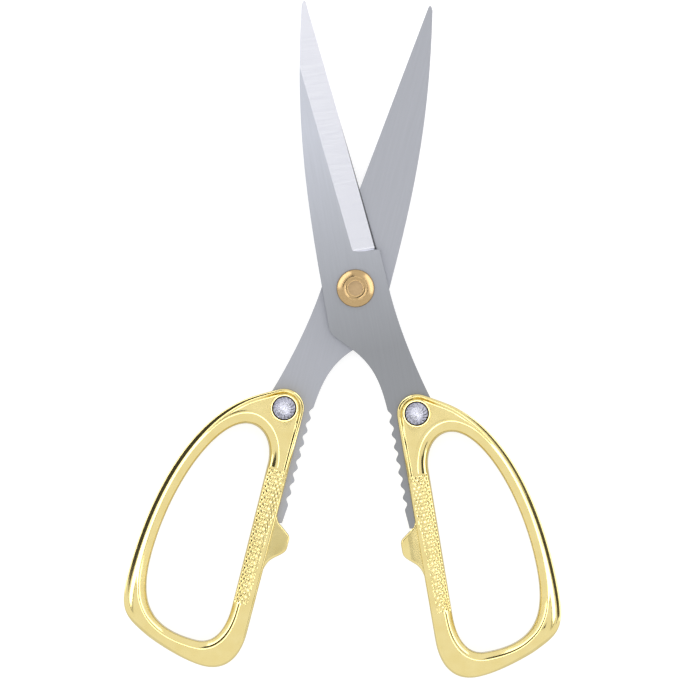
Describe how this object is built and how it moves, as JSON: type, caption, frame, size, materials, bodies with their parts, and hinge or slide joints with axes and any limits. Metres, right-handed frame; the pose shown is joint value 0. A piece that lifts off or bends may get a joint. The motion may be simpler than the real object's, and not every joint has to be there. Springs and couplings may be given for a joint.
{
  "type": "multipurpose shears",
  "caption": "Riveted stainless shears with plated loop handles, a cut stone in each handle top, toothed tangs that grip nuts and caps, and lugs that stop the handles when closed.",
  "frame": {"origin": "on the pivot axis, in the plane that the shears lie on, at the flat rear end of the rivet", "axes": "+Y from the pivot towards the tips, along the line midway between the halves; +Z out of the front face, along the pivot; +X towards the right handle"},
  "size_m": [0.1226, 0.1878, 0.009],
  "materials": {
    "blade_steel": "satin ground stainless steel",
    "plated_handle": "bright gold plating on a zinc alloy casting",
    "pivot_brass": "polished brass",
    "pin_steel": "drawn steel pin",
    "cut_glass": "clear faceted glass with a silvered back"
  },
  "bodies": {
    "rear_half": {"rear_blade": "blade_steel", "left_handle": "plated_handle", "left_handle_pin": "pin_steel", "left_front_gem": "cut_glass", "left_rear_gem": "cut_glass", "pivot_rivet": "pivot_brass", "pivot_front_cap": "pivot_brass", "pivot_rear_cap": "pivot_brass"},
    "front_half": {"front_blade": "blade_steel", "right_handle": "plated_handle", "right_handle_pin": "pin_steel", "right_front_gem": "cut_glass", "right_rear_gem": "cut_glass"}
  },
  "joints": [
    {"name": "blade_pivot", "type": "hinge", "parent": "rear_half", "child": "front_half", "pos_m": [0, 0, 0.0045], "axis": [0, 0, 1], "range_deg": [-24.6, 114]}
  ]
}
